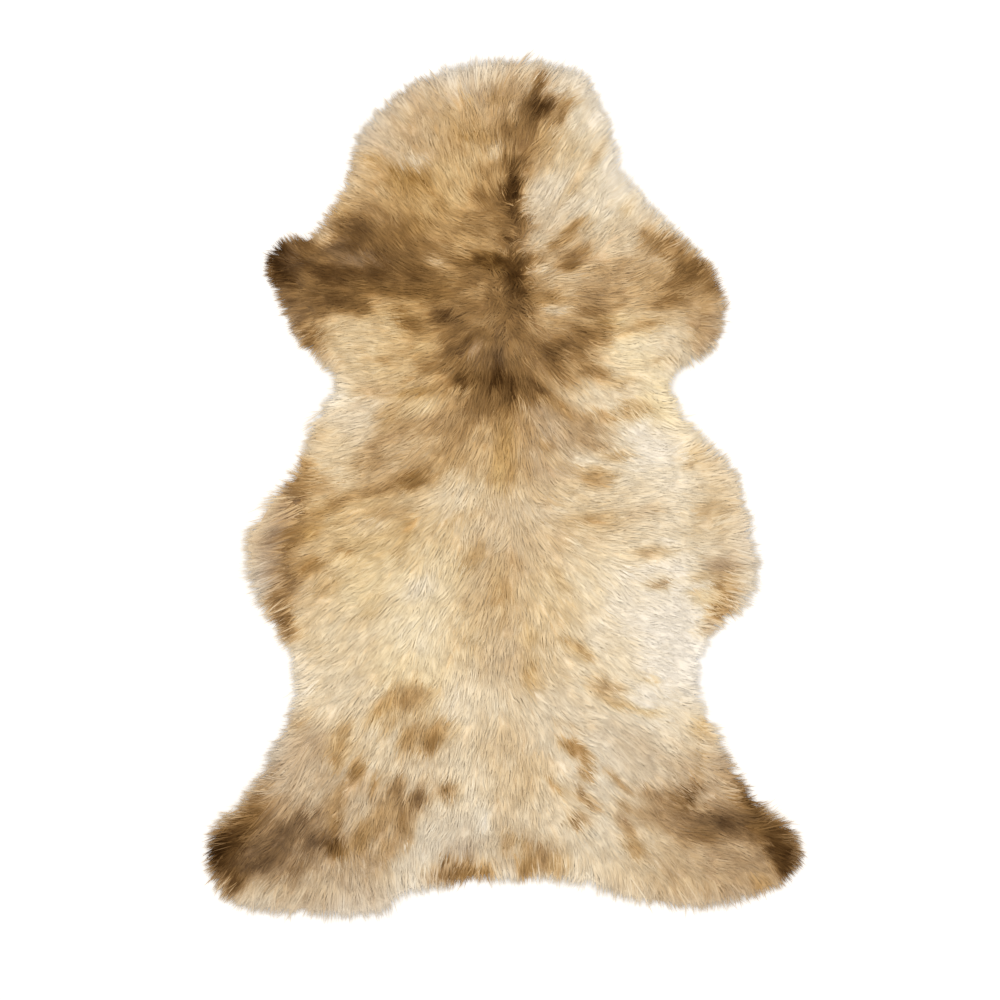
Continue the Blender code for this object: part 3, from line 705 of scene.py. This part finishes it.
def staggered_points(low, high, spacing, wander, random):
    """Points on a staggered lattice over a box, each moved a little."""
    columns = np.arange(low[0], high[0], spacing)
    rows = np.arange(low[1], high[1], spacing * math.sqrt(3) / 2)
    x, y = np.meshgrid(columns, rows)
    x = x + (np.arange(len(rows)) % 2)[:, None] * spacing / 2
    points = np.column_stack([x.ravel(), y.ravel()])
    return points + random.uniform(-wander, wander, points.shape) * spacing


class Locks:
    """The locks of wool: the line along which each lies, its length and its own chances."""

    def __init__(self, rug):
        self.rug = rug
        random = np.random.default_rng(seed=31)
        roots, self.at_rim = self.rooted(random)
        self.count = len(roots)
        self.axis = self.laid_out(roots, random)
        self.length = self.fitted_length(roots, random)
        self.lift = random.normal(0.0, LOCK_LIFT, self.count)
        self.level = np.where(self.at_rim, np.minimum(random.uniform(*RIM_LEVELS, self.count), 1.0), 1.0)
        self.pigment = random.normal(0.0, LOCK_PIGMENT, self.count)
        self.shift = random.normal(0.0, LOCK_SHIFT, self.count)

    def rooted(self, random):
        """Where the locks root: all over the skin, more where the wool parts, and round its edge."""
        rug = self.rug
        low, high = rug.skin_ring.min(axis=0), rug.skin_ring.max(axis=0)
        field = staggered_points(low, high, LOCK_PITCH, LOCK_WANDER, random)
        field = field[rug.skin_inset.at(field) > LOCK_INSET]
        parting = staggered_points(low, high, PARTING_PITCH, LOCK_WANDER, random)
        loose = rug.order.at(parting) < PARTING_ORDER
        parting = parting[(rug.skin_inset.at(parting) > PARTING_INSET) & loose]
        girth = np.linalg.norm(rug.skin_ring - np.roll(rug.skin_ring, 1, axis=0), axis=1).sum()
        count = int(girth / RIM_PITCH)
        stops = (np.arange(count) + random.uniform(0, 1, count)) * RING_COUNT / count
        i = stops.astype(int) % RING_COUNT
        share = (stops - np.floor(stops))[:, None]
        rim = rug.skin_ring[i] * (1 - share) + rug.skin_ring[(i + 1) % RING_COUNT] * share
        rim -= rug.heading.at(rim) * random.uniform(0, RIM_SETBACK, (count, 1))
        roots = np.concatenate([field, parting, rim])
        return roots, np.arange(len(roots)) >= len(roots) - count

    def laid_out(self, roots, random):
        """Each lock's line, as evenly spaced points that follow the combing."""
        drift = sum(angle * soft_noise(roots, size, seed) for angle, size, seed in DRIFTS)
        tousled = LEAST_TURN + TOUSLED_TURN * (1.0 - eased(self.rug.order.at(roots), *TOUSLED_ORDER))
        drift = (drift + tousled * random.normal(0.0, 1.0, len(roots))) * DEGREES
        bend = random.normal(0.0, LOCK_BEND, len(roots)) * DEGREES
        points = [roots]
        for step in range(AXIS_STEPS):
            angle = drift + bend * (step / AXIS_STEPS - BEND_MIDDLE)
            points.append(points[-1] + turned(self.rug.heading.at(points[-1]), angle) * AXIS_STRIDE)
        return np.stack(points, axis=1)

    def fitted_length(self, roots, random):
        """Each lock's length along its line, which ends near the wool's edge at the latest."""
        inset = self.rug.inset.at(self.axis)
        room = np.full(self.count, LONGEST_REACH)
        for step in range(AXIS_STEPS, 0, -1):
            near, far = inset[:, step - 1], inset[:, step]
            share = near / np.maximum(near - far, TINY)
            leaves = (far < 0) & (near >= 0)
            room = np.where(leaves, (step - 1 + share) * AXIS_STRIDE, room)
        usual = LOCK_LENGTH * random.uniform(*LOCK_SHARES, self.count)
        to_edge = room + random.uniform(*LOCK_ENDS, self.count)
        by_edge = (room < EDGE_ROOM) | (self.rug.skin_inset.at(roots) < EDGE_INSET)
        length = np.where(by_edge, np.maximum(to_edge, SHORTEST_LOCK), usual)
        order = eased(self.rug.order.at(roots), *PARTED_ORDER)
        return length * (PARTED_SHARE + (1 - PARTED_SHARE) * order)

    def point_at(self, owner, travel):
        """The point and the direction of a lock's line at a distance along it."""
        place = np.clip(travel, 0.0, LONGEST_REACH * 0.999) / AXIS_STRIDE
        low = place.astype(int)
        share = (place - low)[:, None]
        start, end = self.axis[owner, low], self.axis[owner, low + 1]
        return start * (1 - share) + end * share, (end - start) / AXIS_STRIDE


def strands_of(layer, locks):
    """A layer's strands: their points, and the pigment and gold at each point."""
    rug = locks.rug
    random = np.random.default_rng(layer.seed)
    rooted = np.flatnonzero(locks.at_rim) if layer is RIM_LAYER else np.arange(locks.count)
    owner = np.repeat(rooted, layer.strands)
    count = len(owner)
    offset = random.normal(0.0, LOCK_SPREAD, count)
    start = random.uniform(*STRAND_STARTS, count) * LOCK_LENGTH
    start = np.where(locks.at_rim[owner], RIM_START * np.abs(start), start)
    fanned, closed = random.uniform(*RIM_CLOSING, count), random.uniform(*INNER_CLOSING, count)
    closing = np.where(locks.at_rim[owner], fanned, closed)
    reach = random.uniform(*STRAND_REACHES, count)
    proud = layer.proud + random.normal(0.0, STRAND_LIFT, count)
    crimp = random.normal(0.0, STRAND_CRIMP, (count, len(layer.stops)))
    bow, sweep = random.normal(0.0, 1.0, (2, count)) * ((STRAND_BOW,), (STRAND_SWEEP,))
    points = []
    for stop, sway in zip(layer.stops, crimp.T):
        travel = start + (locks.length[owner] * reach - start) * stop
        spot, ahead = locks.point_at(owner, travel)
        spot = spot + ahead * np.minimum(travel, 0.0)[:, None]
        side = np.column_stack([-ahead[:, 1], ahead[:, 0]])
        curve = 4.0 * stop * (1.0 - stop) * bow + stop * stop * sweep
        spot = spot + side * (offset * (1.0 - closing * stop) + curve + sway)[:, None]
        rise = 1.0 - (1.0 - stop) ** 2
        rounding = LOCK_ROUNDING * (offset / LOCK_SPREAD) ** 2
        z = rug.height.at(spot) * locks.level[owner] * (ROOT_SHARE + (1 - ROOT_SHARE) * rise)
        z += (locks.lift[owner] + proud - rounding) * rise
        gap = FLOOR_GAP + INNER_FLOOR_GAP * eased(rug.inset.at(spot), *INNER_RISE)
        points.append(np.column_stack([spot, np.maximum(z, gap + layer.width / 2)]))
    points = np.stack(points, axis=1)
    flat = points[:, :, :2]
    shift = locks.shift[owner] + random.normal(0.0, STRAND_SHIFT, count)
    tone = rug.tone.at(flat + rug.heading.at(flat) * shift[:, None, None])
    chance = locks.pigment[owner] + random.normal(0.0, STRAND_PIGMENT, count)
    mottling = (MOTTLING[0] + MOTTLING[1] * tone[..., 0]) * soft_noise(flat, MOTTLE_SIZE, seed=61)
    pigment = tone[..., 0] + chance[:, None] + mottling
    # Painted light and shade: paler, more golden roots that lighten and warm the gaps between strands
    pigment = np.clip(pigment + np.interp(layer.stops, TONE_STOPS, PAINTED_FILL_PIGMENT_GAIN), 0.0, 1.0)
    return points, pigment, tone[..., 1] + np.interp(layer.stops, TONE_STOPS, PAINTED_SHADE_GOLD_GAIN)


def strand_shapes(points, layer, rug):
    """The strands' vertices, their rings of three points and a tip, and the normals there."""
    rings = len(layer.stops) - 1
    centre = points[:, :rings]
    ahead = unit(points[:, 1:] - np.concatenate([points[:, :1], points[:, : rings - 1]], axis=1))
    side = unit(np.cross(ahead, (0.0, 0.0, 1.0)))
    up = np.cross(side, ahead)
    half = layer.width / 2 * np.linspace(1.0, layer.taper, rings)[:, None]
    corners, normals = [], []
    pile = rug.normal.at(points[:, :, :2])
    for corner in STRAND_CORNERS:
        across, rise = math.cos(corner * DEGREES), math.sin(corner * DEGREES)
        corners.append(centre + half * (across * side + STRAND_FLATNESS * rise * up))
        outward = across * side + rise * up
        normals.append(pile[:, :rings] * (1 - STRAND_ROUNDNESS) + outward * STRAND_ROUNDNESS)
    shape = (len(points), 3 * rings, 3)
    corners = np.stack(corners, axis=2).reshape(shape)
    normals = np.stack(normals, axis=2).reshape(shape)
    vertices = np.concatenate([corners, points[:, rings:]], axis=1)
    normals = np.concatenate([normals, pile[:, rings:]], axis=1)
    return vertices, unit(normals)


def strand_faces(stops):
    """One strand's faces, by its vertices, and where each corner goes in its cell of the map."""
    left, middle, right = CELL_SIDES
    faces = [(0, 1, 2)]
    cells = [((left, 0.0), (middle, 0.1), (right, 0.0))]
    rings = len(stops) - 1
    for ring in range(rings - 1):
        for corner in range(3):
            following = (corner + 1) % 3
            low, high = 3 * ring, 3 * ring + 3
            faces.append((low + corner, high + corner, high + following, low + following))
            v_low, v_high = stops[ring], stops[ring + 1]
            cells.append(((left, v_low), (left, v_high), (right, v_high), (right, v_low)))
    last = 3 * rings - 3
    for corner in range(3):
        faces.append((last + corner, 3 * rings, last + (corner + 1) % 3))
        cells.append(((left, stops[-2]), (middle, 1.0), (right, stops[-2])))
    return faces, cells


def set_attribute(mesh, name, values):
    """Give the mesh a number for each of its vertices."""
    attribute = mesh.attributes.new(name, "FLOAT", "POINT")
    attribute.data.foreach_set("value", np.ascontiguousarray(values, np.float32).ravel())


def strand_mesh(layer, locks):
    """A layer of strands as one mesh, each strand closed and with its own cell of the map."""
    points, pigment, gold = strands_of(layer, locks)
    vertices, normals = strand_shapes(points, layer, locks.rug)
    count, each = vertices.shape[:2]
    faces, cells = strand_faces(layer.stops)
    starts = range(0, count * each, each)
    every_face = [[start + corner for corner in face] for start in starts for face in faces]
    mesh = bpy.data.meshes.new(layer.name)
    mesh.from_pydata(vertices.reshape(-1, 3), [], every_face)
    mesh.polygons.foreach_set("use_smooth", np.ones(len(mesh.polygons), bool))

    rows = math.ceil(count / MAP_COLUMNS)
    cells = np.array([place for face in cells for place in face])
    cells = cells * (1.0, CELL_SHARE) + (0.0, CELL_MARGIN)
    column, row = np.arange(count) % MAP_COLUMNS, np.arange(count) // MAP_COLUMNS
    u = (column[:, None] + cells[None, :, 0]) / MAP_COLUMNS
    v = (row[:, None] + cells[None, :, 1]) / rows
    bake_map = mesh.uv_layers.new(name=BAKE_MAP)
    bake_map.data.foreach_set("uv", np.stack([u, v], axis=-1).astype(np.float32).ravel())

    place_of = [*np.repeat(np.arange(len(layer.stops) - 1), 3), len(layer.stops) - 1]
    for name, values in (("pigment", pigment), ("gold", gold)):
        set_attribute(mesh, name, values[:, place_of])
    mesh.normals_split_custom_set_from_vertices(normals.reshape(-1, 3))
    return mesh


def slab_mesh(name, ring, top_points, bottom_points, top_at, bottom_at):
    """A closed slab between two surfaces over the same clockwise ring."""
    verts, faces = [], []

    def surface(points, height_at, upwards):
        first = len(verts)
        flat = np.concatenate([ring, points])
        verts.extend(np.column_stack([flat, height_at(flat)]))
        edges = [(i, (i + 1) % len(ring)) for i in range(len(ring))]
        found = delaunay_2d_cdt([Vector(point) for point in flat], edges, [], INSIDE_ONLY, WELD)
        for a, b, c in found[2]:
            faces.append([first + corner for corner in ((a, b, c) if upwards else (a, c, b))])
        return first

    high = surface(top_points, top_at, True)
    low = surface(bottom_points, bottom_at, False)
    for i in range(len(ring)):
        j = (i + 1) % len(ring)
        faces.append([low + i, high + i, high + j, low + j])
    mesh = bpy.data.meshes.new(name)
    mesh.from_pydata([tuple(vert) for vert in verts], [], faces)
    mesh.validate()
    return mesh


def flat_at(height):
    """A flat surface at a height."""
    return lambda flat: np.full(len(flat), height)


def points_inside(ring, spacing, clearance, seed):
    """Points on a staggered lattice inside a ring and clear of it."""
    random = np.random.default_rng(seed)
    points = staggered_points(ring.min(axis=0), ring.max(axis=0), spacing, SLAB_WANDER, random)
    return points[inset_of(points, ring) > clearance * spacing]


def hide_mesh(rug):
    """The suede: a thin flat sheet of the skin's outline."""
    inner = points_inside(rug.skin_ring, HIDE_SPACING, clearance=0.4, seed=71)
    return slab_mesh("hide", rug.skin_ring, inner, inner, flat_at(HIDE_THICKNESS), flat_at(0.0))


def undercoat_mesh(rug):
    """The dense wool under the locks: a lumpy slab that reaches past the skin, streaked, and a little
    darker all over as painted shade from the strands above.
    """
    wander = UNDERCOAT_WANDER * soft_noise(rug.wool_ring, WANDER_SCALE, seed=73)
    ring = moved_in(rug.wool_ring, UNDERCOAT_INSET + wander)
    floor = HIDE_THICKNESS + UNDERCOAT_GAP

    def top_at(flat):
        ridges = RIDGE_HEIGHT * combed_noise(rug, flat, *RIDGE_GRAIN)
        loose = 1.0 - eased(rug.order.at(flat), *LOOSE_ORDER)
        depth = UNDERCOAT_DEPTH * (1.0 + loose)
        height = UNDERCOAT_SHARE * rug.height.at(flat) - depth + ridges
        height *= eased(inset_of(flat, ring), *UNDERCOAT_RISE)
        return np.maximum(height, floor + UNDERCOAT_EDGE)

    mesh = slab_mesh(
        "undercoat",
        ring,
        points_inside(ring, UNDERCOAT_SPACING, clearance=0.5, seed=77),
        points_inside(ring, HIDE_SPACING, clearance=0.4, seed=79),
        top_at,
        flat_at(floor),
    )
    mesh.polygons.foreach_set("use_smooth", np.ones(len(mesh.polygons), bool))
    places = np.zeros(len(mesh.vertices) * 3, np.float32)
    mesh.vertices.foreach_get("co", places)
    flat = places.reshape(-1, 3)[:, :2]
    shift = SHIFT_SIZE * combed_noise(rug, flat, *SHIFT_GRAIN)
    tone = rug.tone.at(flat + rug.heading.at(flat) * shift[:, None])
    # Painted shade: the undercoat's pigment is raised a little all over, besides its streaking, as the
    # shade of the strands over it
    streaks_and_painted_shade = STREAK_AND_PAINTED_SHADE_TONE[0] + STREAK_AND_PAINTED_SHADE_TONE[1] * combed_noise(rug, flat, *STREAK_GRAIN)
    set_attribute(mesh, "pigment", np.clip(tone[:, 0] + streaks_and_painted_shade, 0.0, 1.0))
    set_attribute(mesh, "gold", tone[:, 1] + UNDERCOAT_GOLD)
    return mesh


def linear(level):
    """A screen level from 0 to 255 as an amount of light, by the usual curve of screens."""
    level = level / 255
    return level / 12.92 if level <= 0.04045 else ((level + 0.055) / 1.055) ** 2.4


def new_material(name, roughness, specular):
    """A material with an empty tree but for its shader and output."""
    material = bpy.data.materials.new(name)
    material.use_nodes = True
    shader = material.node_tree.nodes["Principled BSDF"]
    shader.inputs["Roughness"].default_value = roughness
    shader.inputs["Metallic"].default_value = 0.0
    shader.inputs["Specular IOR Level"].default_value = specular
    return material, shader


def add_node(tree, kind, inputs, **settings):
    """A node with its settings, and a value or an incoming link for each input that is named."""
    node = tree.nodes.new("ShaderNode" + kind)
    for name, value in settings.items():
        setattr(node, name, value)
    for name, value in inputs.items():
        if isinstance(value, bpy.types.NodeSocket):
            tree.links.new(value, node.inputs[name])
        else:
            node.inputs[name].default_value = value
    return node


def add_noise(tree, place, scale, detail):
    """Smooth noise at a place."""
    noise = add_node(tree, "TexNoise", {"Vector": place, "Scale": scale, "Detail": detail})
    return noise.outputs["Fac"]


def add_ramp(tree, factor, shades):
    """The colour between the shades, each a position, red, green and blue."""
    ramp = add_node(tree, "ValToRGB", {"Fac": factor})
    elements = ramp.color_ramp.elements
    while len(elements) < len(shades):
        elements.new(0.5)
    for element, (position, *colour) in zip(elements, shades):
        element.position = position
        element.color = (*colour, 1.0)
    return ramp.outputs["Color"]


def add_mix(tree, blend_type, factor, first, second):
    """Two colours mixed."""
    inputs = {"Factor": factor, "A": first, "B": second}
    mix = add_node(tree, "Mix", inputs, data_type="RGBA", blend_type=blend_type, clamp_factor=True)
    return mix.outputs["Result"]


def add_relief(tree, shader, height, strength, distance):
    """A relief on the surface."""
    bump = add_node(tree, "Bump", {"Height": height, "Strength": strength, "Distance": distance})
    tree.links.new(bump.outputs["Normal"], shader.inputs["Normal"])


def build_wool(name, map_name, scales):
    """Wool: the colour of its pigment with a fine grain, turned golden or grey.

    The grain lies in the named map of the mesh, or in its own space, and has its own scale
    along each axis."""
    material, shader = new_material(name, roughness=0.78, specular=0.0)
    tree = material.node_tree
    if map_name:
        place = add_node(tree, "UVMap", {}, uv_map=map_name).outputs["UV"]
    else:
        place = add_node(tree, "TexCoord", {}).outputs["Object"]
    stretched = add_node(tree, "Mapping", {"Vector": place, "Scale": scales}).outputs["Vector"]
    fibres = add_noise(tree, stretched, scale=1.0, detail=2.0)
    ends = {"From Min": 0.3, "From Max": 0.7, "To Min": -FIBRE_GRAIN, "To Max": FIBRE_GRAIN}
    grain = add_node(tree, "MapRange", {"Value": fibres, **ends}, clamp=False).outputs["Result"]
    pigment = add_node(tree, "Attribute", {}, attribute_name="pigment").outputs["Fac"]
    varied = add_node(tree, "Math", {0: pigment, 1: grain}, operation="ADD").outputs["Value"]
    shades = [(position, *map(linear, levels)) for position, *levels in WOOL_SHADES]
    colour = add_ramp(tree, varied, shades)

    gold = add_node(tree, "Attribute", {}, attribute_name="gold").outputs["Fac"]
    golden = add_mix(tree, "MULTIPLY", gold, colour, GOLDEN_TINT)
    grey = add_node(tree, "Math", {0: gold, 1: -GREY_STRENGTH}, operation="MULTIPLY").outputs["Value"]
    brightness = add_node(tree, "RGBToBW", {"Color": golden}).outputs["Val"]
    toned = add_mix(tree, "MIX", grey, golden, brightness)
    tree.links.new(toned, shader.inputs["Base Color"])
    add_relief(tree, shader, fibres, FIBRE_STRENGTH, FIBRE_RELIEF)
    return material


def build_suede():
    """Suede: a pale nap with soft mottling and a fine grain."""
    material, shader = new_material("suede", roughness=0.9, specular=0.2)
    tree = material.node_tree
    place = add_node(tree, "TexCoord", {}).outputs["Object"]
    colour = add_ramp(tree, add_noise(tree, place, scale=14.0, detail=6.0), SUEDE_SHADES)
    tree.links.new(colour, shader.inputs["Base Color"])
    nap = add_noise(tree, place, scale=900.0, detail=3.0)
    add_relief(tree, shader, nap, strength=0.35, distance=0.4 * MM)
    return material


def add_object(name, data):
    """Put new data in the scene as an object."""
    thing = bpy.data.objects.new(name, data)
    bpy.context.scene.collection.objects.link(thing)
    return thing


def add_piece(mesh, material):
    """Put a mesh in the scene as a piece of the rug."""
    mesh.materials.append(material)
    piece = add_object(mesh.name, mesh)
    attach(piece, BODY)
    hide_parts(RUG)
    return piece


def build_rug():
    """The suede, the undercoat and the layers of strands."""
    rug = Rug()
    hide = add_piece(hide_mesh(rug), build_suede())

    dense_wool = build_wool("undercoat_wool", map_name="", scales=(900.0, 900.0, 900.0))
    add_piece(undercoat_mesh(rug), dense_wool)

    locks = Locks(rug)
    wool = build_wool("wool", map_name=BAKE_MAP, scales=(4 * MAP_COLUMNS, 150.0, 1.0))
    for layer in (*LAYERS, RIM_LAYER):
        add_piece(strand_mesh(layer, locks), wool)


def build_stage():
    """A plain pale floor."""
    mesh = bpy.data.meshes.new("floor")
    corners = [(x * FLOOR_SIDE, y * FLOOR_SIDE, 0) for x, y in ((-1, -1), (1, -1), (1, 1), (-1, 1))]
    mesh.from_pydata(corners, [], [(0, 1, 2, 3)])
    material, shader = new_material("floor", roughness=0.9, specular=0.0)
    shader.inputs["Base Color"].default_value = FLOOR_COLOUR
    mesh.materials.append(material)
    floor = add_object("floor", mesh)
    floor.location.z = -FLOOR_DROP


def add_light(name, place, size, watts, colour):
    """A square soft light that faces the rug."""
    light = bpy.data.lights.new(name, "AREA")
    light.shape = "SQUARE"
    light.size = size
    light.energy = watts
    light.color = colour
    lamp = add_object(name, light)
    lamp.location = place
    lamp.rotation_euler = (-Vector(place)).to_track_quat("-Z", "Y").to_euler()


def build_light():
    """Soft studio light: a large key, a fill from the other side and a pale surround."""
    add_light("key", (-1.2, 1.1, 3.2), size=4.2, watts=90.0, colour=(1.0, 0.985, 0.96))
    add_light("fill", (1.6, -0.9, 3.0), size=4.2, watts=50.0, colour=(1.0, 0.99, 0.98))
    world = bpy.data.worlds.new("surround")
    world.use_nodes = True
    background = world.node_tree.nodes["Background"]
    background.inputs["Color"].default_value = SURROUND_COLOUR
    background.inputs["Strength"].default_value = SURROUND_STRENGTH
    bpy.context.scene.world = world


def build_camera():
    """The photo's view, from straight above."""
    camera = bpy.data.cameras.new("camera")
    side = PHOTO_SIDE * PIXEL
    camera.sensor_fit = "HORIZONTAL"
    camera.angle = 2 * math.atan(side / 2 / CAMERA_HEIGHT)
    camera.clip_end = 50.0
    view = add_object("camera", camera)
    middle = PHOTO_SIDE / 2
    view.location = ((middle - ORIGIN_PIXEL[0]) * PIXEL, (ORIGIN_PIXEL[1] - middle) * PIXEL, CAMERA_HEIGHT)
    bpy.context.scene.camera = view


build_rug()
build_stage()
build_light()
build_camera()
bpy.context.scene.view_settings.view_transform = "Standard"
